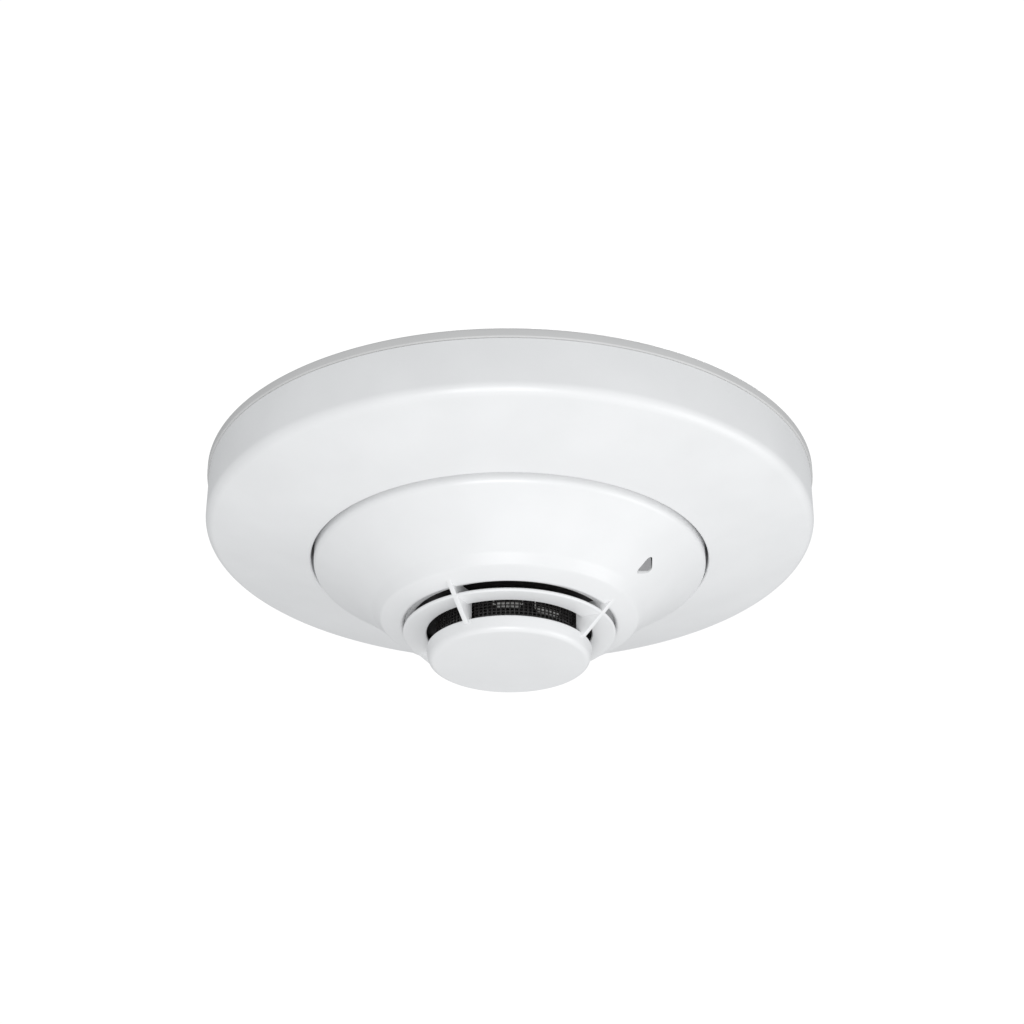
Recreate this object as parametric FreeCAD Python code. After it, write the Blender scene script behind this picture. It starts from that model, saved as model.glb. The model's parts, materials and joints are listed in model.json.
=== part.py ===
import FreeCAD, Part
import math
import os

# Plug-in heat detector on a flanged ceiling base, in millimetres.
# +Z is up, towards the ceiling. The origin is the centre of the base's mounting face, and the
# detector hangs below it. Angles are measured round +Z from +X.

V = FreeCAD.Vector
AXIS = V(0, 0, 1)
ORIGIN = V(0, 0, 0)

# Overall sizes
plate_r = 79.8            # base flange
plate_t = 2.4
head_r = 51.0             # widest radius of the plug-in head
seam_gap = 0.75           # between the head's rim and the trim ring
total_h = 51.0            # mounting face to the front of the nose cap
seam_z = -23.75           # level of the seam between trim ring and head

# Trim ring
ring_wall_t = 2.0
ring_top_r = 79.3
ring_top_z = -plate_t - 0.05
ring_edge_r = 79.4
ring_edge_z = -16.5
ring_edge_round = 3.0
ring_bore_r = head_r + seam_gap
ring_collar_t = 1.8
ring_collar_top = -15.0
ring_rib_count = 12
ring_rib_t = 1.2
ring_rib_top = -17.0
snap_count = 4
snap_angle = 45.0
snap_arc = 6.0

# Base plate openings and electrical box screw slots
wire_r = 28.5
slot_x_spacing = 88.9
slot_x_length = 12.0
slot_x_width = 4.8
slot_y_spacing = 69.85
slot_y_length = 9.0
slot_y_width = 4.6

# Bayonet between base and head
lug_count = 3
lug_first = 90.0
lug_arc = 18.0
lug_z0 = -13.2
lug_z1 = -11.0
lug_r = 45.2
ledge_arc = 20.0
ledge_r = 43.1
tower_r0 = 45.6
tower_r1 = 48.0
tower_bottom = -15.6
ledge_top = -13.5

# Terminals and contacts
terminal_angles = (40.0, 140.0, 220.0, 320.0)
terminal_r = 35.0
seat_z = -4.4
spring_t = 0.5
clamp_t = 0.8
terminal_screw_r = 1.75
terminal_head_r = 3.1
terminal_head_h = 1.5

# Tamper lever: an arm on a short pivot post beside the bayonet
lever_pivot_r = 47.0
lever_pivot_angle = 236.0
lever_arc = 26.0
lever_z0 = -11.0
lever_z1 = -8.0

# Head chassis
drum_r = 42.6
drum_t = 2.0
chassis_top = -8.1
chassis_floor_t = 2.0
flange_r = 48.8
flange_top = -18.0
flange_t = 2.0
board_top = -22.0
board_t = 1.6
board_r = 44.0
board_post_r = 34.0
board_post_angles = (20.0, 140.0, 260.0)
cover_screw_r = 45.9
cover_screw_angles = (30.0, 150.0, 270.0)
cover_screw_end = -26.5

# Head cover
skirt_top = -17.8
skin_t = 1.8
rim_z = -25.1             # where the rim turns into the cone
cone_slope = 0.7115
cone_r = 35.4             # where the cone steepens towards the lip
cone_z = -36.6
lip_r = 33.2
lip_z = -39.2
nose_open_r = 26.9
nose_floor_z = -40.9

# Vent cage: ribs, louvre ring and nose cap
rib_count = 4
rib_first = -30.0
rib_t = 0.95
rib_end_z = -48.3
rib_inner_r = 19.8
louvre_r1 = 27.6
louvre_r0 = 21.2
louvre_t = 0.95
louvre_outer_z = -43.35
louvre_inner_z = -43.15
cap_back_r = 21.25
cap_front_r = 20.5
cap_back_z = -47.05
cap_round = 1.5
cap_t = 1.7

# Status lights
light_angles = (-30.0, 150.0)
light_r = 39.7
light_corners = ((2.4, -1.6), (-2.3, -1.3), (-0.5, 3.5))
light_round = 0.9
pipe_clear = 0.12
pipe_recess = 0.65

# Sensing elements behind the louvre
thermistor_angles = (-91.0, -56.0)
thermistor_r = 17.1
thermistor_z = (-42.5, -43.1)
thermistor_l = 6.2
thermistor_lead = 3.7
guard_r = 15.8
guard_top = -36.4
guard_bottom = -49.2
guard_flange_t = 1.6
screen_r = 18.9
screen_bottom = -47.7

# Rotary address switches on the back of the head
switch_x = 8.6
switch_y = 9.0
rotor_r = 3.4
rotor_clear = 0.06


def outline(points):
    """Closed wire in the XZ plane; a point is (r, z) or (r, z, corner radius)."""
    count = len(points)
    starts = []
    ends = []
    arcs = []
    for i in range(count):
        here = V(points[i][0], 0, points[i][1])
        before = V(points[i - 1][0], 0, points[i - 1][1])
        after = V(points[(i + 1) % count][0], 0, points[(i + 1) % count][1])
        radius = points[i][2] if len(points[i]) > 2 else 0
        if radius == 0:
            starts.append(here)
            ends.append(here)
            arcs.append(None)
            continue
        back = (before - here).normalize()
        ahead = (after - here).normalize()
        half = back.getAngle(ahead) / 2
        reach = radius / math.tan(half)
        middle = (back + ahead).normalize()
        centre = here + middle * (radius / math.sin(half))
        first = here + back * reach
        last = here + ahead * reach
        starts.append(first)
        ends.append(last)
        arcs.append(Part.Arc(first, centre - middle * radius, last).toShape())
    edges = []
    for i in range(count):
        if arcs[i]:
            edges.append(arcs[i])
        a = ends[i]
        b = starts[(i + 1) % count]
        if (a - b).Length > 1e-6:
            edges.append(Part.makeLine(a, b))
    return Part.Wire(edges)


def lathe(points):
    """Solid of revolution round Z."""
    return Part.Face(outline(points)).revolve(ORIGIN, AXIS, 360)


def fin(points, thickness, angle):
    """Flat plate in the radial plane at an angle, from (r, z) points."""
    face = Part.Face(outline(points))
    solid = face.extrude(V(0, thickness, 0))
    solid.translate(V(0, -thickness / 2, 0))
    return turned(solid, angle)


def drum(r, z0, z1, x=0.0, y=0.0):
    return Part.makeCylinder(r, z1 - z0, V(x, y, z0), AXIS)


def tube(r0, r1, z0, z1):
    return drum(r1, z0, z1).cut(drum(r0, z0 - 1, z1 + 1))


def sector(r0, r1, z0, z1, middle, arc):
    """Piece of a ring, arc degrees wide, centred on an angle."""
    outer = Part.makeCylinder(r1, z1 - z0, V(0, 0, z0), AXIS, arc)
    piece = outer.cut(drum(r0, z0 - 1, z1 + 1))
    return turned(piece, middle - arc / 2)


def block(x0, x1, y0, y1, z0, z1):
    return Part.makeBox(x1 - x0, y1 - y0, z1 - z0, V(x0, y0, z0))


def turned(shape, angle):
    """Copy turned round Z."""
    copy = shape.copy()
    copy.rotate(ORIGIN, AXIS, angle)
    return copy


def moved(shape, x, y, z):
    copy = shape.copy()
    copy.translate(V(x, y, z))
    return copy


def slot(length, width, z0, z1, x, y, along_y=False):
    """Round-ended slot, centred on x, y."""
    half = (length - width) / 2
    body = block(-half, half, -width / 2, width / 2, z0, z1)
    body = body.fuse([drum(width / 2, z0, z1, -half), drum(width / 2, z0, z1, half)])
    if along_y:
        body = turned(body, 90)
    return moved(body, x, y, 0)


def at(r, angle):
    return r * math.cos(math.radians(angle)), r * math.sin(math.radians(angle))


def spread(first, count):
    return [first + 360.0 / count * i for i in range(count)]


def rod(a, b, r):
    """Round rod from point a to point b."""
    return Part.makeCylinder(r, (b - a).Length, a, b - a)


def save(name, shape):
    shape = shape.removeSplitter()
    if not shape.isValid():
        raise ValueError(name + " is not a valid shape")
    shape.exportStep("parts/" + name + ".step")
    print(name, len(shape.Solids), round(shape.Volume, 1))


# ---- Base ------------------------------------------------------------------------------------

def base_plate():
    """Flat moulded flange with bayonet towers, terminal seats and snap posts for the trim ring."""
    body = lathe([
        (wire_r, 0, 0.4), (plate_r, 0, 0.5), (plate_r, -plate_t, 0.4), (wire_r, -plate_t),
    ])
    added = [tube(wire_r, wire_r + 1.6, -plate_t - 1.6, -plate_t)]
    for angle in spread(lug_first, lug_count):
        added.append(sector(tower_r0, tower_r1, tower_bottom, -plate_t, angle, ledge_arc + 4))
        added.append(sector(ledge_r, tower_r0 + 0.5, tower_bottom, ledge_top, angle, ledge_arc))
        added.append(sector(ledge_r, tower_r0 + 0.5, tower_bottom, -9.5, angle + ledge_arc / 2 + 1, 2))
        added.append(fin([(tower_r1 - 0.2, -plate_t), (tower_r1 + 3.5, -plate_t),
                          (tower_r1 - 0.2, tower_bottom + 4)], 1.4, angle))
    for angle in terminal_angles:
        seat = block(terminal_r - 5, terminal_r + 5, -4.5, 4.5, seat_z, -plate_t)
        wall = block(terminal_r + 4.2, terminal_r + 5, -4.5, 4.5, seat_z - 1.2, seat_z)
        added.append(turned(seat.fuse(wall), angle))
    for angle in spread(snap_angle, snap_count):
        added.append(sector(69.0, 70.8, -9.0, -plate_t, angle, snap_arc))
        added.append(sector(70.6, 72.6, -9.0, -7.4, angle, snap_arc))
    added.append(drum(1.4, lever_z0, -plate_t, *at(lever_pivot_r, lever_pivot_angle)))
    added.append(tube(56.5, 58.0, -plate_t - 1.5, -plate_t))
    body = body.fuse(added)
    removed = [sector(54.0, 75.5, -0.8, 1, middle, 76.0) for middle in spread(45.0, 4)]
    for side in (-1, 1):
        removed.append(slot(slot_x_length, slot_x_width, -9, 1, side * slot_x_spacing / 2, 0))
        removed.append(slot(slot_y_length, slot_y_width, -9, 1, 0, side * slot_y_spacing / 2, True))
    for angle in terminal_angles:
        removed.append(turned(drum(terminal_screw_r, -9, 1, terminal_r), angle))
    for angle in spread(snap_angle, snap_count):
        removed.append(sector(71.4, 73.6, -4, 1, angle, snap_arc + 2))
    for angle in spread(lug_first, lug_count):
        removed.append(sector(ledge_r - 1, tower_r0 - 0.2, -4, 1, angle, ledge_arc - 2))
    return body.cut(removed)


def tamper_lever():
    arm = sector(46.0, 47.8, lever_z0, lever_z1, lever_pivot_angle + lever_arc / 2, lever_arc)
    hub = drum(2.6, lever_z0, lever_z1, *at(lever_pivot_r, lever_pivot_angle))
    hook = sector(45.2, 47.8, lever_z0, lever_z1, lever_pivot_angle + lever_arc, 3.0)
    hole = drum(1.46, lever_z0 - 1, lever_z1 + 1, *at(lever_pivot_r, lever_pivot_angle))
    return arm.fuse([hub, hook]).cut(hole)


def trim_ring():
    """Decorative ring: drafted outer wall, shallow conical face and an inner collar."""
    body = lathe([
        (ring_top_r, ring_top_z, 0.5),
        (ring_edge_r, ring_edge_z, ring_edge_round),
        (ring_bore_r, seam_z, 0.5),
        (ring_bore_r, ring_collar_top),
        (ring_bore_r + ring_collar_t, ring_collar_top),
        (ring_bore_r + ring_collar_t, seam_z + 2.4, 1.0),
        (ring_edge_r - ring_wall_t, ring_edge_z + 2.2, 1.2),
        (ring_top_r - ring_wall_t, ring_top_z, 0.3),
    ])
    added = []
    for angle in spread(snap_angle, snap_count):
        added.append(sector(71.4, ring_top_r - 1.2, -7.1, -5.2, angle, snap_arc))
        added.append(fin([(73.2, -7.0), (ring_top_r - 1.5, -7.0), (ring_top_r - 1.5, -12.5)],
                         ring_rib_t, angle))
    for angle in spread(0.0, ring_rib_count):
        added.append(fin([(ring_bore_r + 1.2, seam_z + 1.2), (70.0, ring_edge_z - 0.6),
                          (ring_edge_r - 1.4, ring_edge_z + 3.2), (ring_edge_r - 1.4, -12.0),
                          (70.0, -14.6), (60.0, ring_rib_top), (ring_bore_r + 1.2, ring_rib_top)],
                         ring_rib_t, angle))
    return body.fuse(added)


def contact_spring(angle):
    """Strip under the terminal screw with an arm that presses on the head's contact."""
    arm = Part.Face(Part.makePolygon([
        V(terminal_r - 2.2, -3.5, seat_z), V(terminal_r - 2.2, 3.5, seat_z),
        V(terminal_r - 2.2, 11.4, -6.75), V(terminal_r - 2.2, 13.8, -6.2),
        V(terminal_r - 2.2, 14.0, -6.7), V(terminal_r - 2.2, 11.5, -7.3),
        V(terminal_r - 2.2, 3.3, seat_z - spring_t), V(terminal_r - 2.2, -3.5, seat_z - spring_t),
        V(terminal_r - 2.2, -3.5, seat_z),
    ])).extrude(V(4.4, 0, 0))
    pad = block(terminal_r - 3.8, terminal_r + 3.8, -3.9, 3.6, seat_z - spring_t, seat_z)
    return turned(arm.fuse(pad).cut(drum(terminal_screw_r + 0.15, -9, 0, terminal_r)), angle)


def terminal_clamp():
    """Flat clamp plate under the screw head."""
    top = seat_z - spring_t
    plate = block(terminal_r - 3.6, terminal_r + 3.6, -3.2, 3.2, top - clamp_t, top)
    return plate.cut(drum(terminal_screw_r + 0.15, -9, 0, terminal_r))


def terminal_screw():
    """Pan head with a cross recess on a plain shank."""
    top = seat_z - spring_t - clamp_t
    head = lathe([(0, top), (terminal_head_r, top), (terminal_head_r, top - terminal_head_h, 0.7),
                  (0, top - terminal_head_h)])
    shank = drum(terminal_screw_r - 0.02, top - 0.5, -0.9)
    recess = block(-1.7, 1.7, -0.35, 0.35, top - 2, top - 0.7)
    cross = recess.fuse(turned(recess, 90))
    return moved(head.fuse(shank).cut(cross), terminal_r, 0, 0)


# ---- Head ------------------------------------------------------------------------------------

def cover_line(r):
    """Level of the cover's conical skin at a radius, between the rim and the lip."""
    return rim_z - (head_r - r) * cone_slope


def light_window(grow, z0, z1):
    """Rounded three-cornered prism of the status light, at angle 0, widened by grow."""
    points = [V(light_r + x, y, z0) for x, y in light_corners]
    prism = Part.Face(Part.makePolygon(points + points[:1])).extrude(V(0, 0, z1 - z0))
    upright = [e for e in prism.Edges if abs(e.Vertexes[0].Z - e.Vertexes[-1].Z) > 1]
    rounded = prism.makeFillet(light_round, upright)
    if grow == 0:
        return rounded
    bottom = min(rounded.Faces, key=lambda f: f.CenterOfMass.z)
    return Part.Face(bottom.OuterWire.makeOffset2D(grow)).extrude(V(0, 0, z1 - z0))


def head_cover():
    """Bell-shaped shell from the rim to the open nose."""
    body = lathe([
        (head_r, skirt_top, 0.3),
        (head_r, rim_z, 1.8),
        (43.0, cover_line(43.0) + 0.45, 60.0),
        (cone_r, cone_z, 4.0),
        (lip_r, lip_z, 1.6),
        (nose_open_r, nose_floor_z, 1.0),
        (nose_open_r, nose_floor_z + 1.6),
        (30.0, nose_floor_z + 1.6),
        (31.2, nose_floor_z + 2.6, 0.5),
        (33.0, nose_floor_z + 4.5, 1.0),
        (43.0 - 1.2, cover_line(43.0) + 2.1),
        (head_r - skin_t, rim_z + 0.8, 1.2),
        (head_r - skin_t, skirt_top),
    ])
    added = []
    for angle in cover_screw_angles:
        x, y = at(cover_screw_r, angle)
        post = drum(2.7, -30.0, flange_top - flange_t, x, y)
        added.append(post.cut(lathe([(0, -40), (60, -40), (60, rim_z + 0.6), (head_r - 1, rim_z + 0.6),
                                     (head_r - 1, rim_z), (cone_r, cover_line(cone_r) + 0.5),
                                     (0, cover_line(cone_r) + 0.5)])))
    for angle in light_angles:
        collar = light_window(1.1, -36.0, -28.4)
        below = lathe([(0, -50), (60, -50), (60, rim_z + 0.8), (head_r - 0.5, rim_z + 0.8),
                       (cone_r, cover_line(cone_r) + 0.9), (0, cover_line(cone_r) + 0.9)])
        added.append(turned(collar.cut(below), angle))
    body = body.fuse(added)
    removed = [turned(light_window(0, -45, -20), angle) for angle in light_angles]
    for angle in cover_screw_angles:
        x, y = at(cover_screw_r, angle)
        removed.append(drum(1.1, cover_screw_end - 0.3, -19, x, y))
    return body.cut(removed)


def vent_cage(cover):
    """Nose moulding: seating flange, four ribs, louvre ring and nose cap."""
    flange = lathe([(23.6, nose_floor_z + 1.6), (29.4, nose_floor_z + 1.6),
                    (29.4, nose_floor_z + 2.8), (23.6, nose_floor_z + 2.8)])
    louvre = lathe([
        (louvre_r1, louvre_outer_z, 0.5), (louvre_r0, louvre_inner_z, 0.45),
        (louvre_r0, louvre_inner_z + louvre_t, 0.45), (louvre_r1, louvre_outer_z + louvre_t, 0.5),
    ])
    cap = lathe([
        (0, -total_h), (cap_front_r, -total_h, cap_round), (cap_back_r, cap_back_z, 0.4),
        (cap_back_r - 1.5, cap_back_z, 0.3), (cap_front_r - 1.8, -total_h + cap_t, 0.6),
        (0, -total_h + cap_t),
    ])
    ribs = []
    for angle in spread(rib_first, rib_count):
        ribs.append(fin([(31.0, nose_floor_z + 1.5), (21.7, rib_end_z, 0.4),
                         (rib_inner_r, rib_end_z), (rib_inner_r, nose_floor_z + 2.0),
                         (nose_open_r - 0.1, nose_floor_z + 2.0),
                         (nose_open_r - 0.1, nose_floor_z + 1.5)], rib_t, angle))
    return flange.fuse([louvre, cap] + ribs).cut(cover)


def sensor_guard():
    """Black open basket that keeps fingers off the sensing elements."""
    body = lathe([
        (0, guard_top), (29.8, guard_top), (29.8, guard_top - guard_flange_t),
        (guard_r, guard_top - guard_flange_t, 0.5), (guard_r, guard_bottom),
        (guard_r - 1.0, guard_bottom), (guard_r - 1.0, guard_top - guard_flange_t),
        (0, guard_top - guard_flange_t),
    ])
    windows = []
    for angle in spread(7.5, 24):
        windows.append(turned(block(guard_r - 3, guard_r + 2, -0.9, 0.9, guard_bottom + 1.5, -40.0),
                              angle))
    holes = [turned(drum(0.5, -40, -30, thermistor_r, side * thermistor_lead), angle)
             for angle in thermistor_angles for side in (-1, 1)]
    return body.cut(windows + holes)


def vent_screen():
    """Thin perforated band round the guard."""
    band = tube(screen_r - 0.25, screen_r, screen_bottom, guard_top - guard_flange_t - 0.05)
    holes = []
    for row in range(5):
        for angle in spread(3.0 * (row % 2), 60):
            hole = Part.makeCylinder(0.55, 4, V(screen_r - 2, 0, screen_bottom + 1.2 + 2.0 * row), V(1, 0, 0))
            holes.append(turned(hole, angle))
    return band.cut(holes)


def thermistor(angle, level):
    """Coated barrel lying behind the screen, on two leads that go up to the circuit board."""
    half = thermistor_l / 2
    barrel = Part.makeCylinder(0.95, thermistor_l, V(thermistor_r, -half, level), V(0, 1, 0))
    barrel = barrel.makeFillet(0.6, [e for e in barrel.Edges if e.Closed])
    shape = [barrel]
    for side in (-1, 1):
        end = V(thermistor_r, side * thermistor_lead, level)
        top = V(thermistor_r, side * thermistor_lead, board_top - board_t)
        shape.append(rod(V(thermistor_r, 0, level), end, 0.25))
        shape.append(rod(end, top, 0.25))
        shape.append(Part.makeSphere(0.25, end))
    return turned(shape[0].fuse(shape[1:]), angle)


def light_pipe(angle):
    """Clear pipe from the board's lamp to the flush window in the cover."""
    shape = light_window(-pipe_clear, -40, -27.2)
    inner = 30.0
    outer = 48.0
    behind = lathe([(inner, -20), (outer, -20), (outer, cover_line(outer) + pipe_recess),
                    (inner, cover_line(inner) + pipe_recess)])
    return turned(shape.common(behind), angle)


def status_lamp(angle):
    """Small round lamp on the underside of the board."""
    dome = Part.makeSphere(1.5, V(light_r, 0, -25.6)).common(block(30, 50, -5, 5, -28, -25.6))
    body = drum(1.5, -25.7, board_top - board_t, light_r)
    return turned(body.fuse(dome), angle)


def head_chassis():
    """Top-hat moulding that carries the bayonet lugs, the contacts and the board."""
    body = lathe([
        (0, chassis_top), (drum_r, chassis_top, 0.6), (drum_r, flange_top, 0.6),
        (flange_r, flange_top), (flange_r, flange_top - flange_t),
        (drum_r - drum_t, flange_top - flange_t),
        (drum_r - drum_t, chassis_top - chassis_floor_t, 0.6), (0, chassis_top - chassis_floor_t),
    ])
    added = [sector(drum_r - 0.5, lug_r, lug_z0, lug_z1, angle, lug_arc)
             for angle in spread(lug_first, lug_count)]
    for angle in board_post_angles:
        added.append(drum(2.6, board_top, chassis_top - 1, *at(board_post_r, angle)))
    added.append(tube(28.0, 29.2, chassis_top - 3.2, chassis_top - 1))
    added.append(sector(drum_r - 0.5, 44.4, -14.8, -11.0, 270.0, 2.0))
    body = body.fuse(added)
    removed = [drum(rotor_r + 0.4, -12, -7, side * switch_x, switch_y) for side in (-1, 1)]
    for angle in board_post_angles:
        removed.append(drum(0.95, board_top - 1, board_top + 6, *at(board_post_r, angle)))
    for angle in cover_screw_angles:
        removed.append(drum(1.5, -22, -16, *at(cover_screw_r, angle)))
    for angle in terminal_angles:
        removed.append(turned(block(terminal_r - 2.4, terminal_r + 2.4, 13.5, 14.3, -12, -7), angle))
    return body.cut(removed)


def contact_blade(angle):
    """Folded brass contact: a pad on the chassis and a tail down to the board."""
    pad = block(terminal_r - 2.2, terminal_r + 2.2, 8.8, 14.2, chassis_top, chassis_top + 0.6)
    tail = block(terminal_r - 2.2, terminal_r + 2.2, 13.6, 14.2, board_top, chassis_top + 0.6)
    return turned(pad.fuse(tail), angle)


def circuit_board():
    body = drum(board_r, board_top - board_t, board_top)
    removed = [drum(1.1, -30, -20, *at(board_post_r, angle)) for angle in board_post_angles]
    for angle in cover_screw_angles:
        removed.append(drum(4.0, -30, -20, *at(cover_screw_r, angle)))
    removed += [turned(drum(0.35, -30, -20, thermistor_r, side * thermistor_lead), angle)
                for angle in thermistor_angles for side in (-1, 1)]
    return body.cut(removed)


def board_screw(angle):
    x, y = at(board_post_r, angle)
    low = board_top - board_t
    return moved(lathe([(0, low - 1.4), (2.0, low - 1.4, 0.5), (2.0, low), (0.93, low),
                        (0.93, board_top + 5.5), (0, board_top + 5.5)]), x, y, 0)


def cover_screw(angle):
    x, y = at(cover_screw_r, angle)
    return moved(lathe([(0, flange_top + 1.3), (2.1, flange_top + 1.3, 0.5), (2.1, flange_top),
                        (1.08, flange_top), (1.08, cover_screw_end), (0, cover_screw_end)]), x, y, 0)


def switch_housing(side):
    """Square body of a rotary address switch, under the chassis, with a round well for its rotor."""
    x = side * switch_x
    body = block(x - 5, x + 5, switch_y - 5, switch_y + 5, -15.2, chassis_top - chassis_floor_t - 0.05)
    collar = drum(rotor_r + 0.35, -12, -8.3, x, switch_y)
    legs = [block(x + i - 0.25, x + i + 0.25, switch_y + j - 0.15, switch_y + j + 0.15,
                  board_top, -15.2) for i in (-2.5, 0, 2.5) for j in (-4.5, 4.5)]
    well = drum(rotor_r - 0.6 + rotor_clear, -12.8, -7, x, switch_y)
    return body.fuse([collar] + legs).cut(well)


def switch_rotor(side):
    """Rotor with a screwdriver slot and a pointer notch."""
    x = side * switch_x
    body = drum(rotor_r - 0.6, -12.6, -7.6, x, switch_y)
    cut = block(x - 2.0, x + 2.0, switch_y - 0.4, switch_y + 0.4, -8.6, -7)
    pointer = block(x + 1.4, x + 3.2, switch_y - 0.7, switch_y + 0.7, -8.2, -7)
    return body.cut([cut, pointer])


def reed_switch():
    """Glass-bodied magnetic test switch lying on the board."""
    body = rod(V(-7, 27, -20.2), V(7, 27, -20.2), 1.1)
    legs = [rod(V(7 * s, 27, -20.2), V(9.5 * s, 27, -20.2), 0.3) for s in (-1, 1)]
    feet = [drum(0.3, board_top, -19.95, 9.5 * s, 27) for s in (-1, 1)]
    return body.fuse(legs + feet)


def capacitor(x, y):
    can = lathe([(0, board_top), (3.9, board_top), (3.9, board_top + 1.6, 0.3), (3.7, board_top + 1.9),
                 (4.0, board_top + 2.3, 0.2), (4.0, board_top + 9.6, 0.5), (0, board_top + 9.6)])
    return moved(can, x, y, 0)


def small_parts():
    """Row of small surface-mounted parts on the upper face of the board."""
    bodies = []
    for i in range(6):
        bodies.append(block(-11 + 4 * i, -9 + 4 * i, -27, -25.8, board_top, board_top + 0.7))
    for i in range(5):
        bodies.append(block(24, 25.2, -14 + 4 * i, -12 + 4 * i, board_top, board_top + 0.7))
    return Part.makeCompound(bodies)


def controller():
    body = block(-6, 6, -12, 0, board_top + 0.15, board_top + 1.6)
    legs = []
    for i in range(8):
        offset = -5.25 + 1.5 * i
        legs.append(block(offset - 0.25, offset + 0.25, -13, 1, board_top, board_top + 0.4))
        legs.append(block(-7, 7, offset - 6.25, offset - 5.75, board_top, board_top + 0.4))
    return body.fuse(legs)


def label():
    """Blank rating label on the back of the head."""
    body = block(-15, 15, -17, -5, chassis_top, chassis_top + 0.15)
    upright = [e for e in body.Edges if abs(e.Vertexes[0].Z - e.Vertexes[-1].Z) > 0.1]
    return body.makeFillet(1.5, upright)


def main():
    os.makedirs("parts", exist_ok=True)
    save("base_plate", base_plate())
    save("trim_ring", trim_ring())
    save("tamper_lever", tamper_lever())
    save("terminal_screws", Part.makeCompound([turned(terminal_screw(), a) for a in terminal_angles]))
    save("terminal_clamps", Part.makeCompound([turned(terminal_clamp(), a) for a in terminal_angles]))
    for i, angle in enumerate(terminal_angles, 1):
        save("contact_spring_%d" % i, contact_spring(angle))
        save("contact_blade_%d" % i, contact_blade(angle))
    cover = head_cover()
    save("head_cover", cover)
    save("vent_cage", vent_cage(cover))
    save("sensor_guard", sensor_guard())
    save("vent_screen", vent_screen())
    for i in range(2):
        save("thermistor_%d" % (i + 1), thermistor(thermistor_angles[i], thermistor_z[i]))
        save("light_pipe_%d" % (i + 1), light_pipe(light_angles[i]))
        save("status_lamp_%d" % (i + 1), status_lamp(light_angles[i]))
    save("head_chassis", head_chassis())
    save("circuit_board", circuit_board())
    save("board_screws", Part.makeCompound([board_screw(a) for a in board_post_angles]))
    save("cover_screws", Part.makeCompound([cover_screw(a) for a in cover_screw_angles]))
    for name, side in (("tens", -1), ("ones", 1)):
        save("address_switch_" + name, switch_housing(side))
        save("address_rotor_" + name, switch_rotor(side))
    save("reed_switch", reed_switch())
    save("capacitor_1", capacitor(-28, 4))
    save("capacitor_2", capacitor(-18, -18))
    save("controller", controller())
    save("small_components", small_parts())
    save("rating_label", label())


main()
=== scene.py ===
import bmesh
import bpy
import json
import math
from mathutils import Matrix, Quaternion, Vector


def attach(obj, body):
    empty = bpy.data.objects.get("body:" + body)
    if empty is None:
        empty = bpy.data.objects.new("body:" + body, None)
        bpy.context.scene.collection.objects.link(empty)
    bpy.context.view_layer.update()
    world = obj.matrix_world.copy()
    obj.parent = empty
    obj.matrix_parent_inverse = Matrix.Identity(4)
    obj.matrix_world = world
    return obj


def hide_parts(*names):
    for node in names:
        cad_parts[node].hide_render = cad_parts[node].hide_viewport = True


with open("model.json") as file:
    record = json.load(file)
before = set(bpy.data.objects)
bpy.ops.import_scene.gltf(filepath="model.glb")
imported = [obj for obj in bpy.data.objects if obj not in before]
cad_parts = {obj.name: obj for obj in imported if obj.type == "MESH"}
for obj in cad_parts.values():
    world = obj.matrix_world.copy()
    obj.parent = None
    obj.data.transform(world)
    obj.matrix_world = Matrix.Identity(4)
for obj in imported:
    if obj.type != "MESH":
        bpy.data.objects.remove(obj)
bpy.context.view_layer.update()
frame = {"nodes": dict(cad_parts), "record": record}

MM = 0.001
STEPS = 256          # facets round a large turned piece
ARC_STEP = 9.0       # degrees per facet in a rounded corner

# Sizes in millimetres, the same as in the CAD model
PLATE_R = 79.8
PLATE_T = 2.4
HEAD_R = 51.0
TOTAL_H = 51.0
SEAM_Z = -23.75
RING_TOP_R = 79.3
RING_TOP_Z = -PLATE_T - 0.05
RING_EDGE_R = 79.4
RING_EDGE_Z = -16.5
RING_EDGE_ROUND = 3.0
RING_BORE_R = HEAD_R + 0.75
RING_WALL = 2.0
RING_COLLAR_T = 1.8
RING_RIB_COUNT = 12
RING_RIB_T = 1.2
COLLAR_TOP = -15.0
RING_RIB_TOP = -17.0
SKIRT_TOP = -17.8
SKIN_T = 1.8
RIM_Z = -25.1
CONE_SLOPE = 0.7115
CONE_R = 35.4
CONE_Z = -36.6
LIP_R = 33.2
LIP_Z = -39.2
NOSE_R = 26.9
FLOOR_Z = -41.35
LOUVRE_R0 = 21.2
LOUVRE_R1 = 27.35
LOUVRE_INNER_Z = -43.15
LOUVRE_OUTER_Z = -43.35
LOUVRE_T = 0.95
RIB_INNER_R = 19.8
CAP_BACK_R = 21.25
CAP_FRONT_R = 20.5
CAP_BACK_Z = -47.05
CAP_ROUND = 1.5
CAP_T = 1.7
RIB_T = 1.25
RIB_END_Z = -48.3
LIGHT_R = 39.7
LIGHT_CORNERS = ((2.7, -2.0), (-2.6, -1.6), (-0.3, 3.7))
LIGHT_ROUND = 0.9
LIGHT_ANGLES = (-30.0, 150.0)
PIPE_GAP = 0.3
PIPE_RECESS = 0.35
RIB_ANGLES = (-30.0, 60.0, 150.0, 240.0)
SNAP_ANGLES = (45.0, 135.0, 225.0, 315.0)
LUG_ANGLES = (90.0, 210.0, 330.0)
TERMINAL_ANGLES = (40.0, 140.0, 220.0, 320.0)
TERMINAL_R = 35.0
TERMINAL_HOLE_R = 1.75
WIRE_R = 28.5
SLOT_X = 44.45
SLOT_Y = 34.925
LEVER_R = 47.0
LEVER_ANGLE = 236.0
LEVER_POST_R = 1.4
POST_R0 = 69.0
POST_R1 = 70.8
POST_END = -9.0
LUG_R0 = 71.4
LUG_TOP = -5.2
LUG_BOTTOM = -7.1
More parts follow.
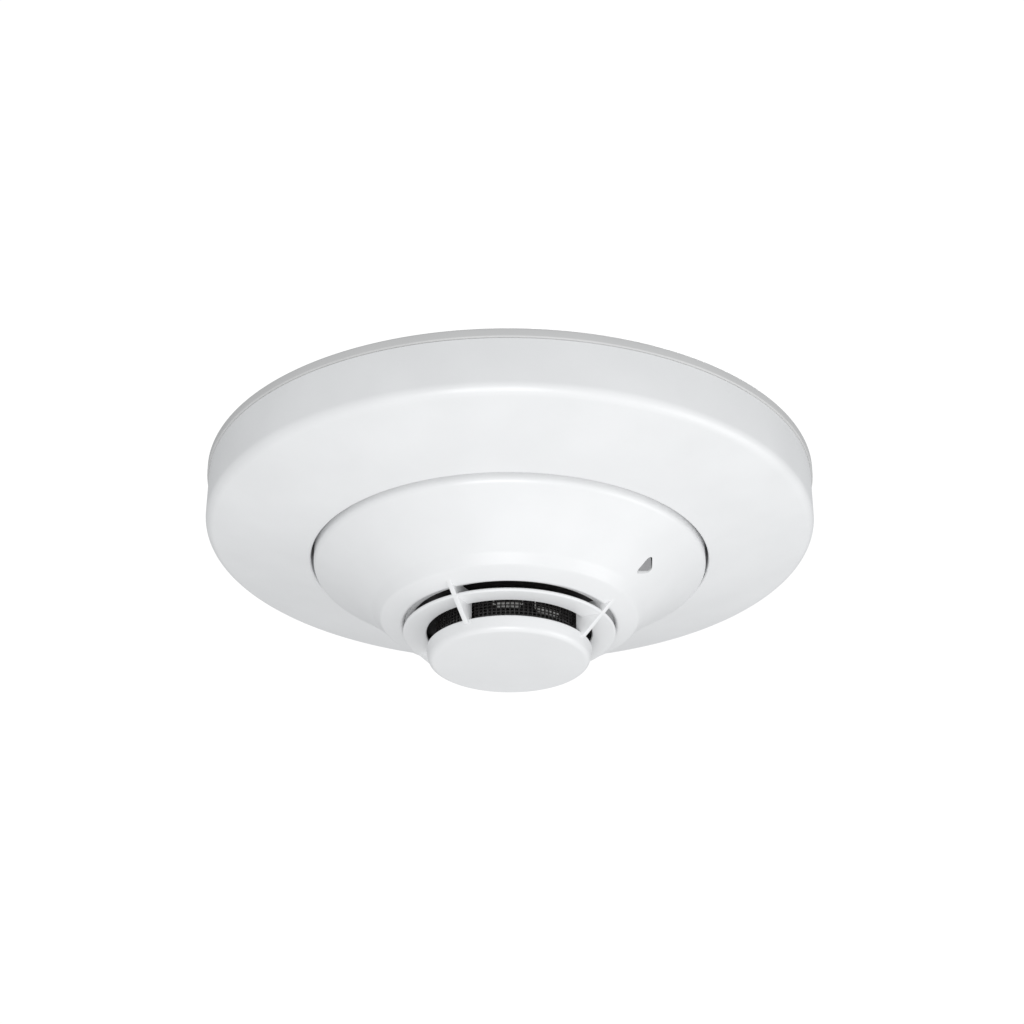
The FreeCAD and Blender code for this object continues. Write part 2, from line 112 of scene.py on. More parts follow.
TOWER_R0 = 45.6
TOWER_R1 = 48.0
TOWER_END = -15.6
LEDGE_R = 43.1
ELEMENTS = ((-91.0, -42.5), (-56.0, -43.1))
ELEMENT_R = 17.1
SCREEN_R = 18.9
SCREEN_BOTTOM = -47.7
GUARD_R = 15.8
GUARD_TOP = -36.4
GUARD_FLANGE_T = 1.6
GUARD_BOTTOM = -49.2
GUARD_SLOTS = 24
GUARD_SLOT_HALF = 0.9
SWITCH_X = (-8.6, 8.6)
SWITCH_Y = 9.0
TICK_STEP = 36.0
TICK_START = 4.6
TICK_END = 5.9
ZERO_TICK_END = 6.3
TICK_HALF_WIDTH = 0.14


# ---- Mesh helpers ----------------------------------------------------------------------------

def outline(points):
    """(r, z) points of a closed profile, with a point's third number as its corner radius."""
    made = []
    for i, point in enumerate(points):
        here = Vector(point[:2])
        radius = point[2] if len(point) > 2 else 0
        if radius == 0:
            made.append(here)
            continue
        back = (Vector(points[i - 1][:2]) - here).normalized()
        ahead = (Vector(points[(i + 1) % len(points)][:2]) - here).normalized()
        half = back.angle(ahead) / 2
        reach = radius / math.tan(half)
        centre = here + (back + ahead).normalized() * (radius / math.sin(half))
        first = here + back * reach - centre
        last = here + ahead * reach - centre
        turn = first.angle_signed(last)
        count = max(2, math.ceil(abs(math.degrees(turn)) / ARC_STEP))
        for k in range(count + 1):
            spun = first.copy()
            spun.rotate(Matrix.Rotation(-turn * k / count, 2))
            made.append(centre + spun)
    return made


def new_object(name, bm):
    mesh = bpy.data.meshes.new(name)
    bmesh.ops.recalc_face_normals(bm, faces=bm.faces)
    bm.to_mesh(mesh)
    bm.free()
    obj = bpy.data.objects.new(name, mesh)
    bpy.context.scene.collection.objects.link(obj)
    return obj


def lathe(name, points, steps=STEPS):
    """Closed solid of revolution round Z; points are in millimetres."""
    profile = outline(points)
    bm = bmesh.new()
    rings = []
    for r, z in profile:
        if r < 1e-6:
            rings.append([bm.verts.new((0, 0, z * MM))])
            continue
        ring = []
        for k in range(steps):
            a = 2 * math.pi * k / steps
            ring.append(bm.verts.new((r * MM * math.cos(a), r * MM * math.sin(a), z * MM)))
        rings.append(ring)
    for i, ring in enumerate(rings):
        following = rings[(i + 1) % len(rings)]
        if len(ring) == 1 and len(following) == 1:
            continue
        for k in range(steps):
            n = (k + 1) % steps
            if len(ring) == 1:
                bm.faces.new((ring[0], following[k], following[n]))
            elif len(following) == 1:
                bm.faces.new((ring[k], following[0], ring[n]))
            else:
                bm.faces.new((ring[k], following[k], following[n], ring[n]))
    return new_object(name, bm)


def inset(corners, depth):
    """Outline moved inward by a depth; the corners run anticlockwise."""
    made = []
    for i, (x, y) in enumerate(corners):
        here = Vector((x, y))
        before = (here - Vector(corners[i - 1])).normalized()
        after = (Vector(corners[(i + 1) % len(corners)]) - here).normalized()
        normal = Vector((-before.y - after.y, before.x + after.x)).normalized()
        share = max(0.35, normal.dot(Vector((-after.y, after.x))))
        made.append(tuple(here + normal * depth / share))
    return made


def prism(name, corners, low, high, bevel=0.0):
    """Upright prism on (x, y) corners between two heights in millimetres, its rims rounded."""
    area = sum(a[0] * b[1] - b[0] * a[1] for a, b in zip(corners, corners[1:] + corners[:1]))
    if area < 0:
        corners = corners[::-1]
    levels = [(low, 0.0), (high, 0.0)]
    if bevel:
        turn = [math.radians(a) for a in (0, 30, 60, 90)]
        levels = [(low + bevel * (1 - math.sin(a)), bevel * (1 - math.cos(a))) for a in reversed(turn)]
        levels += [(high - bevel * (1 - math.sin(a)), bevel * (1 - math.cos(a))) for a in turn]
    bm = bmesh.new()
    rings = []
    for z, depth in levels:
        rings.append([bm.verts.new((x * MM, y * MM, z * MM)) for x, y in inset(corners, depth)])
    bm.faces.new(rings[0])
    bm.faces.new(rings[-1])
    for first, second in zip(rings, rings[1:]):
        for i in range(len(corners)):
            n = (i + 1) % len(corners)
            bm.faces.new((first[i], first[n], second[n], second[i]))
    return new_object(name, bm)


def turned(obj, angle):
    obj.data.transform(Matrix.Rotation(math.radians(angle), 4, "Z"))
    return obj


def fin(name, points, thickness, angle, bevel=0.0):
    """Flat plate in the radial plane at an angle, from (r, z) points."""
    corners = [tuple(p) for p in outline(points)]
    obj = prism(name, corners, -thickness / 2, thickness / 2, bevel)
    obj.data.transform(Matrix.Rotation(math.radians(90), 4, "X"))
    return turned(obj, angle)


def arc_corners(r0, r1, middle, arc, pitch=1.5):
    """Corners of a ring sector, as a closed (x, y) outline."""
    count = max(2, math.ceil(arc / pitch))
    angles = [math.radians(middle - arc / 2 + arc * k / count) for k in range(count + 1)]
    outer = [(r1 * math.cos(a), r1 * math.sin(a)) for a in angles]
    inner = [(r0 * math.cos(a), r0 * math.sin(a)) for a in reversed(angles)]
    return outer + inner


def sector(name, r0, r1, low, high, middle, arc, bevel=0.0):
    return prism(name, arc_corners(r0, r1, middle, arc), low, high, bevel)


def round_corners(x, y, r, count=32):
    return [(x + r * math.cos(2 * math.pi * k / count), y + r * math.sin(2 * math.pi * k / count))
            for k in range(count)]


def slot_corners(x, y, length, width, along_y):
    """Outline of a round-ended slot."""
    half = (length - width) / 2
    points = []
    for side, start in ((1, -90), (-1, 90)):
        for k in range(13):
            a = math.radians(start + 15 * k)
            points.append((side * half + width / 2 * math.cos(a), width / 2 * math.sin(a)))
    if along_y:
        points = [(-b, a) for a, b in points]
    return [(x + a, y + b) for a, b in points]


def carved(obj, cutters):
    """Cuts closed shells out of a piece; the cutters are used up."""
    for cutter in cutters:
        step = obj.modifiers.new("step", "BOOLEAN")
        step.operation = "DIFFERENCE"
        step.solver = "EXACT"
        step.object = cutter
    graph = bpy.context.evaluated_depsgraph_get()
    mesh = bpy.data.meshes.new_from_object(obj.evaluated_get(graph))
    obj.modifiers.clear()
    obj.data = mesh
    for cutter in cutters:
        bpy.data.objects.remove(cutter)
    return obj


def joined(obj, others):
    """Adds the others' closed shells to a piece, without a boolean."""
    bm = bmesh.new()
    for source in [obj] + others:
        bm.from_mesh(source.data)
    bm.to_mesh(obj.data)
    bm.free()
    for other in others:
        bpy.data.objects.remove(other)
    return obj


def smooth(obj, angle=32.0):
    """Smooth shading, broken along edges sharper than the angle."""
    bm = bmesh.new()
    bm.from_mesh(obj.data)
    bmesh.ops.remove_doubles(bm, verts=bm.verts, dist=1e-7)
    limit = math.radians(angle)
    for face in bm.faces:
        face.smooth = True
    for edge in bm.edges:
        edge.smooth = len(edge.link_faces) == 2 and edge.calc_face_angle(0) < limit
    bm.to_mesh(obj.data)
    bm.free()
    return obj


def finished(obj, body, slot, material, *nodes):
    """Gives a piece its shading, material, body and the CAD nodes that it stands for."""
    smooth(obj)
    obj.data.materials.clear()
    obj.data.materials.append(material)
    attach(obj, body)
    if nodes:
        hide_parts(*nodes)
    return obj


# ---- Materials -------------------------------------------------------------------------------

def node_kit(name):
    material = bpy.data.materials.new(name)
    material.use_nodes = True
    tree = material.node_tree
    shader = tree.nodes["Principled BSDF"]
    place = tree.nodes.new("ShaderNodeTexCoord")
    return material, tree, shader, place


def noise(tree, place, scale, detail=3.0, rough=0.5):
    node = tree.nodes.new("ShaderNodeTexNoise")
    node.inputs["Scale"].default_value = scale
    node.inputs["Detail"].default_value = detail
    node.inputs["Roughness"].default_value = rough
    tree.links.new(place.outputs["Object"], node.inputs["Vector"])
    return node


def ramp(tree, source, low, high, first, last):
    """Colour ramp between two colours over part of a value's range."""
    node = tree.nodes.new("ShaderNodeValToRGB")
    node.color_ramp.elements[0].position = low
    node.color_ramp.elements[1].position = high
    node.color_ramp.elements[0].color = (*first, 1)
    node.color_ramp.elements[1].color = (*last, 1)
    tree.links.new(source, node.inputs["Fac"])
    return node


def ranged(tree, source, low, high):
    """Value mapped from 0.3 to 0.7 onto a range."""
    node = tree.nodes.new("ShaderNodeMapRange")
    node.inputs["From Min"].default_value = 0.3
    node.inputs["From Max"].default_value = 0.7
    node.inputs["To Min"].default_value = low
    node.inputs["To Max"].default_value = high
    tree.links.new(source, node.inputs["Value"])
    return node


def bump(tree, shader, source, strength, distance):
    node = tree.nodes.new("ShaderNodeBump")
    node.inputs["Strength"].default_value = strength
    node.inputs["Distance"].default_value = distance
    tree.links.new(source, node.inputs["Height"])
    tree.links.new(node.outputs["Normal"], shader.inputs["Normal"])
    return node


def scaled(colour, factor):
    return tuple(min(1.0, c * factor) for c in colour)


def moulded(name, colour, rough, grain=2200.0, depth=0.06, specular=0.5, spread=0.02):
    """Moulded plastic: faint mottling, fine spark-eroded grain and uneven gloss."""
    material, tree, shader, place = node_kit(name)
    mottling = noise(tree, place, 55.0, 4.0)
    shade = ramp(tree, mottling.outputs["Fac"], 0.3, 0.7, scaled(colour, 1 - spread),
                 scaled(colour, 1 + spread))
    tree.links.new(shade.outputs["Color"], shader.inputs["Base Color"])
    gloss = ranged(tree, noise(tree, place, 140.0, 3.0).outputs["Fac"], rough - 0.04, rough + 0.04)
    tree.links.new(gloss.outputs["Result"], shader.inputs["Roughness"])
    bump(tree, shader, noise(tree, place, grain, 2.0).outputs["Fac"], depth, 0.00006)
    shader.inputs["Specular IOR Level"].default_value = specular
    return material


def metal(name, colour, rough, grain=900.0):
    """Plated sheet metal with faint rubbing marks."""
    material, tree, shader, place = node_kit(name)
    tarnish = noise(tree, place, 260.0, 5.0, 0.6)
    shade = ramp(tree, tarnish.outputs["Fac"], 0.35, 0.7, scaled(colour, 0.78), colour)
    tree.links.new(shade.outputs["Color"], shader.inputs["Base Color"])
    gloss = ranged(tree, tarnish.outputs["Fac"], rough + 0.12, rough - 0.05)
    tree.links.new(gloss.outputs["Result"], shader.inputs["Roughness"])
    bump(tree, shader, noise(tree, place, grain, 3.0).outputs["Fac"], 0.12, 0.00003)
    shader.inputs["Metallic"].default_value = 1.0
    return material


def clear(name, colour, rough, ior, through=1.0):
    """Clear moulding with a slightly uneven surface."""
    material, tree, shader, place = node_kit(name)
    cloud = noise(tree, place, 420.0, 2.0)
    shade = ramp(tree, cloud.outputs["Fac"], 0.3, 0.7, scaled(colour, 0.93), colour)
    tree.links.new(shade.outputs["Color"], shader.inputs["Base Color"])
    gloss = ranged(tree, cloud.outputs["Fac"], rough, rough + 0.06)
    tree.links.new(gloss.outputs["Result"], shader.inputs["Roughness"])
    shader.inputs["Transmission Weight"].default_value = through
    shader.inputs["IOR"].default_value = ior
    return material


def laminate(name):
    """Green circuit board with faint copper tracks under the mask."""
    material, tree, shader, place = node_kit(name)
    cells = tree.nodes.new("ShaderNodeTexVoronoi")
    cells.distance = "MANHATTAN"
    cells.feature = "DISTANCE_TO_EDGE"
    cells.inputs["Scale"].default_value = 190.0
    tree.links.new(place.outputs["Object"], cells.inputs["Vector"])
    shade = ramp(tree, cells.outputs["Distance"], 0.04, 0.09, (0.07, 0.25, 0.11), (0.02, 0.13, 0.06))
    tree.links.new(shade.outputs["Color"], shader.inputs["Base Color"])
    gloss = ranged(tree, noise(tree, place, 150.0).outputs["Fac"], 0.25, 0.38)
    tree.links.new(gloss.outputs["Result"], shader.inputs["Roughness"])
    bump(tree, shader, cells.outputs["Distance"], 0.2, 0.00004)
    return material


white_cover = moulded("white_cover", (0.84, 0.845, 0.85), 0.34, depth=0.05, specular=0.5)
# Base plastic darker than the cover: partly its own grey, partly painted shade of the band above the ring.
base_grey_and_shade = moulded("base_grey_and_shade", (0.60, 0.60, 0.598), 0.45, depth=0.10)
white_chassis = moulded("white_chassis", (0.74, 0.74, 0.735), 0.45, depth=0.10)
black_guard = moulded("black_guard", (0.017, 0.015, 0.015), 0.42, depth=0.2, spread=0.25)
black_screen = moulded("black_screen", (0.022, 0.02, 0.02), 0.30, depth=0.15, spread=0.25)
element_coat = moulded("element_coat", (0.80, 0.80, 0.78), 0.3, grain=1500.0, depth=0.25, spread=0.12)
switch_black = moulded("switch_black", (0.03, 0.03, 0.033), 0.4, spread=0.2)
rotor_cream = moulded("rotor_cream", (0.78, 0.74, 0.63), 0.4)
chip_black = moulded("chip_black", (0.025, 0.025, 0.026), 0.55, depth=0.3, spread=0.3)
label_white = moulded("label_white", (0.86, 0.86, 0.84), 0.28, grain=500.0, depth=0.03)
print_grey = moulded("print_grey", (0.16, 0.16, 0.17), 0.5, spread=0.1)
lamp_red = moulded("lamp_red", (0.62, 0.05, 0.035), 0.12, depth=0.02, spread=0.1)
zinc = metal("zinc", (0.74, 0.75, 0.77), 0.28)
brass = metal("brass", (0.80, 0.62, 0.30), 0.27)
can_metal = metal("can_metal", (0.18, 0.20, 0.26), 0.3)
clear_pipe = clear("clear_pipe", (0.46, 0.46, 0.47), 0.12, 1.49, 0.35)
reed_glass = clear("reed_glass", (0.66, 0.80, 0.74), 0.03, 1.5)
board_green = laminate("board_green")

BY_SLOT = {
    "base_plastic": base_grey_and_shade, "cover_plastic": white_cover, "black_plastic": black_guard,
    "screen_metal": black_screen, "element_coating": element_coat, "clear_pipe": clear_pipe,
    "lamp_lens": lamp_red, "zinc_steel": zinc, "contact_brass": brass,
    "board_laminate": board_green, "switch_plastic": switch_black, "rotor_plastic": rotor_cream,
    "reed_glass": reed_glass, "can_aluminium": can_metal, "chip_plastic": chip_black,
    "label_film": label_white,
}
for part in frame["record"]["subparts"]:
    node = frame["nodes"][part["node"]]
    node.data.materials.clear()
    node.data.materials.append(BY_SLOT[part["material_slot"]])
frame["nodes"]["head_chassis"].data.materials[0] = white_chassis


# ---- Base ------------------------------------------------------------------------------------

def base_plate():
    """Flange with its openings, bayonet towers, terminal seats and snap posts."""
    body = lathe("base_flange", [
        (WIRE_R, 0, 0.4), (PLATE_R, 0, 0.5), (PLATE_R, -PLATE_T, 0.35), (30.1, -PLATE_T),
        (30.1, -4.0, 0.3), (WIRE_R, -4.0, 0.3)])
    cuts = [sector("cut", 54.0, 75.5, -0.8, 1, middle, 76.0) for middle in SNAP_ANGLES]
    for side in (-1, 1):
        cuts.append(prism("cut", slot_corners(side * SLOT_X, 0, 12.0, 4.8, False), -9, 1))
        cuts.append(prism("cut", slot_corners(0, side * SLOT_Y, 9.0, 4.6, True), -9, 1))
    for angle in TERMINAL_ANGLES:
        cuts.append(turned(prism("cut", round_corners(TERMINAL_R, 0, TERMINAL_HOLE_R), -9, 1), angle))
    for angle in SNAP_ANGLES:
        cuts.append(sector("cut", LUG_R0, 73.6, -4, 1, angle, 8.0))
    for angle in LUG_ANGLES:
        cuts.append(sector("cut", 42.1, 45.4, -4, 1, angle, 18.0))
    carved(body, cuts)
    added = []
    for angle in LUG_ANGLES:
        added.append(sector("tower", TOWER_R0, TOWER_R1, TOWER_END, -2.2, angle, 24.0, 0.25))
        added.append(sector("ledge", LEDGE_R, 46.0, TOWER_END, -13.5, angle, 20.0, 0.2))
        added.append(sector("stop", LEDGE_R, 46.0, -15.0, -9.5, angle + 11.0, 2.0, 0.15))
        added.append(fin("web", [(47.8, -2.3), (51.5, -2.3), (47.8, -11.6)], 1.4, angle))
    for angle in TERMINAL_ANGLES:
        seat = [(30.0, -4.5), (40.0, -4.5), (40.0, 4.5), (30.0, 4.5)]
        hole = turned(prism("cut", round_corners(TERMINAL_R, 0, TERMINAL_HOLE_R), -9, 1), angle)
        added.append(carved(turned(prism("seat", seat, -4.4, -2.2, 0.2), angle), [hole]))
        wall = [(39.2, -4.5), (40.0, -4.5), (40.0, 4.5), (39.2, 4.5)]
        added.append(turned(prism("wall", wall, -5.6, -4.2, 0.15), angle))
    for angle in SNAP_ANGLES:
        added.append(sector("post", POST_R0, POST_R1, POST_END, -2.2, angle, 6.0, 0.2))
        added.append(sector("hook", 70.6, 72.6, POST_END, -7.4, angle, 6.0, 0.2))
    added.append(prism("pivot", round_corners(*lever_pivot(), LEVER_POST_R), -11.0, -2.2))
    added.append(lathe("stiffener", [(56.5, -2.3), (58.0, -2.3), (58.0, -3.9, 0.3), (56.5, -3.9, 0.3)]))
    joined(body, added)
    return finished(body, "base", "base_plastic", base_grey_and_shade, "base_plate")


def lever_pivot():
    """Place of the post that the tamper lever turns on."""
    a = math.radians(LEVER_ANGLE)
    return LEVER_R * math.cos(a), LEVER_R * math.sin(a)


def trim_ring():
    """Drafted wall, conical face and inner collar, with ribs and snap lugs inside."""
    body = lathe("trim_ring_shell", [
        (RING_TOP_R, RING_TOP_Z, 0.12), (RING_EDGE_R, RING_EDGE_Z, RING_EDGE_ROUND),
        (RING_BORE_R, SEAM_Z, 0.5), (RING_BORE_R, COLLAR_TOP, 0.3),
        (RING_BORE_R + RING_COLLAR_T, COLLAR_TOP, 0.3),
        (RING_BORE_R + RING_COLLAR_T, SEAM_Z + 2.4, 1.0),
        (RING_EDGE_R - RING_WALL, RING_EDGE_Z + 2.2, 1.2),
        (RING_TOP_R - RING_WALL, RING_TOP_Z, 0.3)])
    added = []
    for angle in SNAP_ANGLES:
        added.append(sector("lug", LUG_R0, RING_TOP_R - 1.2, LUG_BOTTOM, LUG_TOP, angle, 6.0, 0.2))
        added.append(fin("web", [(73.2, -7.0), (RING_TOP_R - 1.5, -7.0), (RING_TOP_R - 1.5, -12.5)],
                         RING_RIB_T, angle))
    for k in range(RING_RIB_COUNT):
        added.append(fin("rib", [
            (RING_BORE_R + 1.2, SEAM_Z + 1.2), (70.0, RING_EDGE_Z - 0.6),
            (RING_EDGE_R - 1.4, RING_EDGE_Z + 3.2), (RING_EDGE_R - 1.4, -12.0),
            (70.0, -14.6), (60.0, RING_RIB_TOP), (RING_BORE_R + 1.2, RING_RIB_TOP)],
            RING_RIB_T, 360.0 / RING_RIB_COUNT * k))
    joined(body, added)
    return finished(body, "trim_ring", "cover_plastic", white_cover, "trim_ring")


# ---- Head ------------------------------------------------------------------------------------

def cover_line(r):
    """Level of the cover's conical skin at a radius."""
    return RIM_Z - (HEAD_R - r) * CONE_SLOPE


def light_corners(grow):
    """Rounded three-cornered outline of the status light, widened by grow."""
    centre = Vector((0, 0))
    for x, y in LIGHT_CORNERS:
        centre += Vector((x, y)) / 3
    rounded = outline([(x, y, LIGHT_ROUND) for x, y in LIGHT_CORNERS])
    made = []
    for i, p in enumerate(rounded):
        along = (rounded[(i + 1) % len(rounded)] - rounded[i - 1]).normalized()
        normal = Vector((along.y, -along.x))
        if normal.dot(p - centre) < 0:
            normal = -normal
        q = p + normal * grow
        made.append((LIGHT_R + q.x, q.y))
    return made


def head_cover():
    """Bell-shaped shell with a rolled lip and two light windows."""
    body = lathe("cover_shell", [
        (HEAD_R, SKIRT_TOP, 0.3), (HEAD_R, RIM_Z, 1.8), (43.0, cover_line(43.0) + 0.45, 60.0),
        (CONE_R, CONE_Z, 4.0), (LIP_R, LIP_Z, 1.6),
        (NOSE_R, FLOOR_Z, 1.1), (NOSE_R, FLOOR_Z + 1.6),
        (30.0, FLOOR_Z + 1.6), (31.2, FLOOR_Z + 2.6, 0.5), (33.0, FLOOR_Z + 4.5, 1.0),
        (41.8, cover_line(43.0) + 2.1), (HEAD_R - SKIN_T, RIM_Z + 0.8, 1.2),
        (HEAD_R - SKIN_T, SKIRT_TOP, 0.3)])
    cuts = [turned(prism("cut", light_corners(0), -45, -20), angle) for angle in LIGHT_ANGLES]
    carved(body, cuts)
    return finished(body, "head", "cover_plastic", white_cover, "head_cover")


def vent_cage():
    """Nose cap, louvre ring and ribs in one moulding."""
    flange = lathe("cage_shell", [
        (25.2, FLOOR_Z + 1.65), (29.4, FLOOR_Z + 1.65), (29.4, FLOOR_Z + 2.8), (25.2, FLOOR_Z + 2.8)])
    louvre = lathe("louvre", [
        (LOUVRE_R1, LOUVRE_OUTER_Z, 0.5), (LOUVRE_R0, LOUVRE_INNER_Z, 0.45),
        (LOUVRE_R0, LOUVRE_INNER_Z + LOUVRE_T, 0.45), (LOUVRE_R1, LOUVRE_OUTER_Z + LOUVRE_T, 0.5)])
    cap = lathe("cap", [
        (0, -TOTAL_H), (CAP_FRONT_R, -TOTAL_H, CAP_ROUND), (CAP_BACK_R, CAP_BACK_Z, 0.4),
        (CAP_BACK_R - 1.5, CAP_BACK_Z, 0.3), (CAP_FRONT_R - 1.8, -TOTAL_H + CAP_T, 0.6),
        (0, -TOTAL_H + CAP_T)])
    ribs = [fin("rib", [
        (31.6, LIP_Z + 0.2, 0.3), (21.7, RIB_END_Z, 0.4), (RIB_INNER_R, RIB_END_Z),
        (RIB_INNER_R, FLOOR_Z + 2.0), (NOSE_R - 0.1, FLOOR_Z + 2.0), (NOSE_R - 0.1, LIP_Z + 0.2)],
        RIB_T, angle, 0.12) for angle in RIB_ANGLES]
    joined(flange, [louvre, cap] + ribs)
    return finished(flange, "head", "cover_plastic", white_cover, "vent_cage")


def sensor_guard():
    """Black basket: flange, floor and a ring of posts."""
    body = lathe("guard_shell", [
        (0, GUARD_TOP), (29.8, GUARD_TOP, 0.2), (29.8, GUARD_TOP - GUARD_FLANGE_T, 0.2),
        (GUARD_R, GUARD_TOP - GUARD_FLANGE_T, 0.5), (GUARD_R, GUARD_BOTTOM, 0.2),
        (GUARD_R - 1.0, GUARD_BOTTOM, 0.2), (GUARD_R - 1.0, GUARD_TOP - GUARD_FLANGE_T),
        (0, GUARD_TOP - GUARD_FLANGE_T)], 144)
    cuts = []
    inner = GUARD_R - 3
    outer = GUARD_R + 2
    half = GUARD_SLOT_HALF
    for k in range(GUARD_SLOTS):
        window = [(inner, -half), (outer, -half), (outer, half), (inner, half)]
        cuts.append(turned(prism("cut", window, GUARD_BOTTOM + 1.5, -40.0), 360.0 / GUARD_SLOTS * (k + 0.5)))
    carved(body, cuts)
    return finished(body, "head", "black_plastic", black_guard, "sensor_guard")


def vent_screen():
    """Perforated band: a woven lattice of crossing strips bent round the guard."""
    low = SCREEN_BOTTOM
    high = GUARD_TOP - GUARD_FLANGE_T - 0.05
    columns = 104
    rows = 11
    bar = 0.26               # share of each pitch that is solid
    pitch = (high - low) / (rows + bar)
    bm = bmesh.new()
    grid = []
    for j in range(rows * 2 + 2):
        z = low + pitch * (j // 2 + bar * (j % 2))
        ring = []
        for k in range(columns * 2):
            a = 2 * math.pi * (k // 2 + bar * (k % 2)) / columns
            ring.append(bm.verts.new((SCREEN_R * MM * math.cos(a), SCREEN_R * MM * math.sin(a), z * MM)))
        grid.append(ring)
    for j in range(rows * 2 + 1):
        for k in range(columns * 2):
            if j % 2 and k % 2:
                continue
            n = (k + 1) % (columns * 2)
            bm.faces.new((grid[j][k], grid[j][n], grid[j + 1][n], grid[j + 1][k]))
    obj = new_object("screen_band", bm)
    thick = obj.modifiers.new("thick", "SOLIDIFY")
    thick.thickness = 0.25 * MM
    thick.offset = -1
    graph = bpy.context.evaluated_depsgraph_get()
    obj.data = bpy.data.meshes.new_from_object(obj.evaluated_get(graph))
    obj.modifiers.clear()
    return finished(obj, "head", "screen_metal", black_screen, "vent_screen")


def thermistor(index):
    """Dipped barrel on two bent leads."""
    angle, level = ELEMENTS[index]
    node = "thermistor_%d" % (index + 1)
    barrel = lathe("element_%d" % (index + 1), [
        (0, -3.1), (0.8, -3.1, 0.5), (0.95, -1.2, 3.0), (0.88, 0.0, 3.0), (0.95, 1.2, 3.0),
        (0.8, 3.1, 0.5), (0, 3.1)], 40)
    barrel.data.transform(Matrix.Rotation(math.radians(-90), 4, "X"))
    barrel.data.transform(Matrix.Translation((ELEMENT_R * MM, 0, level * MM)))
    leads = []
    for side in (-1, 1):
        bm = bmesh.new()
        path = [(3.0, 0), (3.4, 0), (3.6, 0.1), (3.7, 0.3), (3.7, -23.6 - level)]
        rings = []
        for i, (y, z) in enumerate(path):
            tangent = Vector((0, path[min(i + 1, 4)][0] - path[max(i - 1, 0)][0],
                              path[min(i + 1, 4)][1] - path[max(i - 1, 0)][1])).normalized()
            across = tangent.cross(Vector((1, 0, 0)))
            centre = Vector((ELEMENT_R, side * y, level + z))
            across.y *= side
            rings.append([bm.verts.new((centre + Vector((1, 0, 0)) * 0.25 * math.cos(t)
                                        + across * 0.25 * math.sin(t)) * MM)
                          for t in [2 * math.pi * k / 12 for k in range(12)]])
        for first, second in zip(rings, rings[1:]):
            for k in range(12):
                bm.faces.new((first[k], first[(k + 1) % 12], second[(k + 1) % 12], second[k]))
        bm.faces.new(rings[0])
        bm.faces.new(rings[-1])
        leads.append(new_object("lead", bm))
    joined(barrel, leads)
    turned(barrel, angle)
    return finished(barrel, "head", "element_coating", element_coat, node)


def light_pipe(index):
    """Clear pipe with a face just behind the cover's skin."""
    body = prism("pipe_%d" % (index + 1), light_corners(-PIPE_GAP), -40, -27.2)
    skin = lathe("skin", [(30.0, -60), (30.0, cover_line(30.0) + PIPE_RECESS),
                          (48.0, cover_line(48.0) + PIPE_RECESS), (48.0, -60)], 96)
    carved(body, [skin])
    turned(body, LIGHT_ANGLES[index])
    return finished(body, "head", "clear_pipe", clear_pipe, "light_pipe_%d" % (index + 1))


def dial_ticks():
    """Ten ticks printed round each address rotor, the zero one longer."""
    marks = []
    for x in SWITCH_X:
        for step in range(10):
            start = TICK_START
            end = TICK_END if step else ZERO_TICK_END
            half = TICK_HALF_WIDTH
            mark = prism("tick", [(start, -half), (end, -half), (end, half), (start, half)],
                         -8.10, -8.06)
            turned(mark, 90.0 - TICK_STEP * step)
            mark.data.transform(Matrix.Translation((x * MM, SWITCH_Y * MM, 0)))
            marks.append(mark)
    first = marks[0]
    first.name = "dial_ticks"
    joined(first, marks[1:])
    return finished(first, "head", "switch_plastic", print_grey)


base_plate()
trim_ring()
head_cover()
vent_cage()
sensor_guard()
vent_screen()
for i in range(2):
    thermistor(i)
    light_pipe(i)
dial_ticks()


# ---- Camera, floor and lights ----------------------------------------------------------------

VIEW_DISTANCE = 0.588
VIEW_ELEVATION = math.radians(-27.74)
LENS = 77.72
ROLL = math.radians(0.23)
SHIFT = (0.00204, -0.0252)
FLOOR_HALF = 6.0
FLOOR_LEVEL = -1.8
LIGHT_AIM = Vector((0, 0, -0.03))


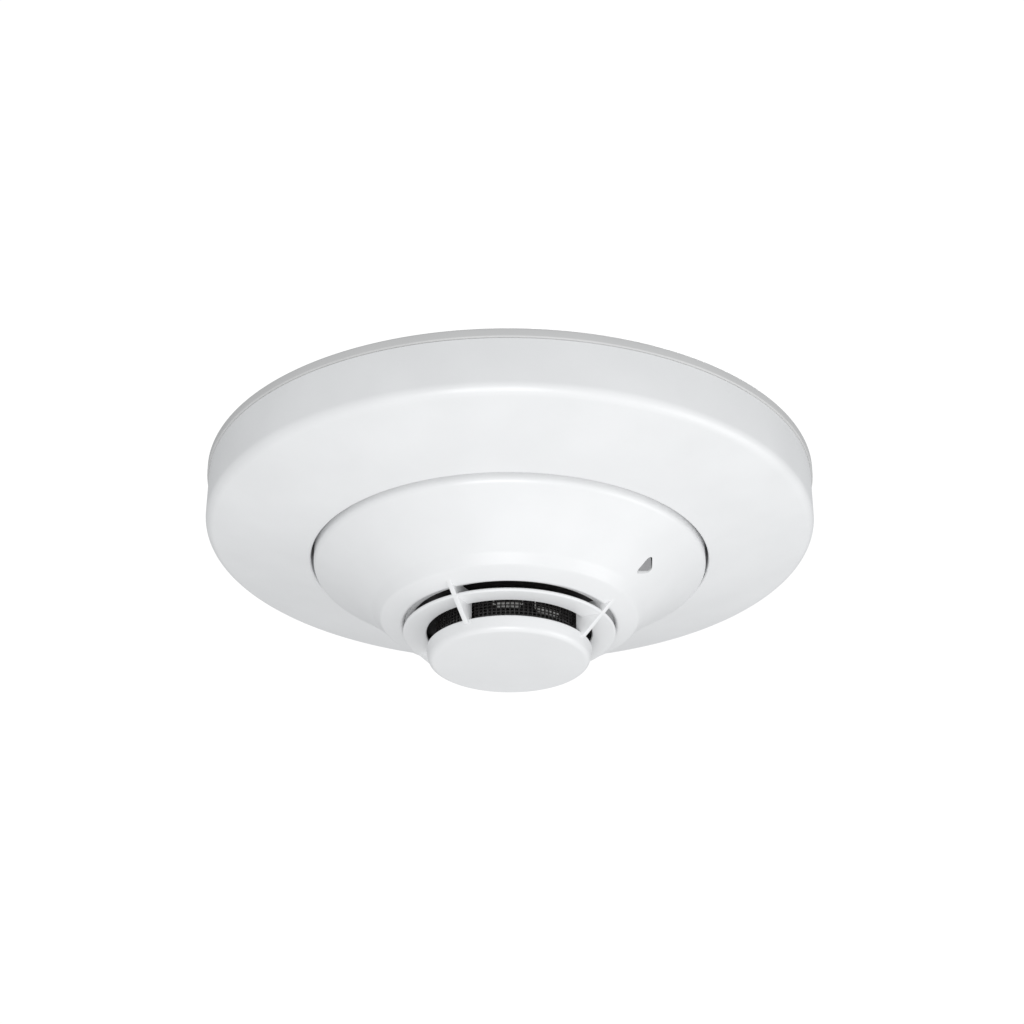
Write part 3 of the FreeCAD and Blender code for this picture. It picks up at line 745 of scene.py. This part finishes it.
def camera():
    """Camera in front of the part and below it, looking up at the mounting face's centre."""
    data = bpy.data.cameras.new("camera")
    data.lens = LENS
    data.sensor_width = 36.0
    data.shift_x, data.shift_y = SHIFT
    data.clip_start = 0.01
    obj = bpy.data.objects.new("camera", data)
    back = Vector((0, -math.cos(VIEW_ELEVATION), math.sin(VIEW_ELEVATION)))
    obj.location = back * VIEW_DISTANCE
    obj.rotation_mode = "QUATERNION"
    obj.rotation_quaternion = (-back).to_track_quat("-Z", "Y") @ Quaternion((0, 0, 1), ROLL)
    bpy.context.scene.collection.objects.link(obj)
    bpy.context.scene.camera = obj


def floor():
    """Plain pale floor, well below the ceiling part."""
    bm = bmesh.new()
    half = FLOOR_HALF
    corners = [bm.verts.new((x, y, FLOOR_LEVEL)) for x, y in ((-half, -half), (half, -half), (half, half),
                                                       (-half, half))]
    bm.faces.new(corners)
    obj = new_object("floor", bm)
    obj.data.materials.append(moulded("floor_paper", (0.9, 0.9, 0.9), 0.8, grain=300.0))


def softbox(name, place, size, watts):
    """Rectangular light aimed at the nose."""
    data = bpy.data.lights.new(name, "AREA")
    data.shape = "RECTANGLE"
    data.size, data.size_y = size
    data.energy = watts
    obj = bpy.data.objects.new(name, data)
    obj.location = place
    obj.rotation_mode = "QUATERNION"
    obj.rotation_quaternion = (Vector(place) - LIGHT_AIM).to_track_quat("Z", "Y")
    bpy.context.scene.collection.objects.link(obj)


def surroundings():
    """Even white room light; the backdrop itself is pure white."""
    world = bpy.data.worlds.new("room")
    bpy.context.scene.world = world
    world.use_nodes = True
    tree = world.node_tree
    shown = tree.nodes["Background"]
    shown.inputs["Color"].default_value = (1, 1, 1, 1)
    shown.inputs["Strength"].default_value = 1.05
    fill = tree.nodes.new("ShaderNodeBackground")
    fill.inputs["Color"].default_value = (0.97, 0.985, 1.0, 1)
    fill.inputs["Strength"].default_value = 0.54
    rays = tree.nodes.new("ShaderNodeLightPath")
    mix = tree.nodes.new("ShaderNodeMixShader")
    tree.links.new(rays.outputs["Is Camera Ray"], mix.inputs["Fac"])
    tree.links.new(fill.outputs["Background"], mix.inputs[1])
    tree.links.new(shown.outputs["Background"], mix.inputs[2])
    tree.links.new(mix.outputs["Shader"], tree.nodes["World Output"].inputs["Surface"])


camera()
floor()
surroundings()
softbox("front_light", (-0.10, -0.95, -0.88), (0.7, 0.7), 7.8)
softbox("side_light", (1.0, -0.15, -0.65), (0.7, 0.7), 3.8)
softbox("top_light", (0.25, 0.70, 1.0), (0.6, 0.6), 6.0)
bpy.context.scene.view_settings.view_transform = "Standard"
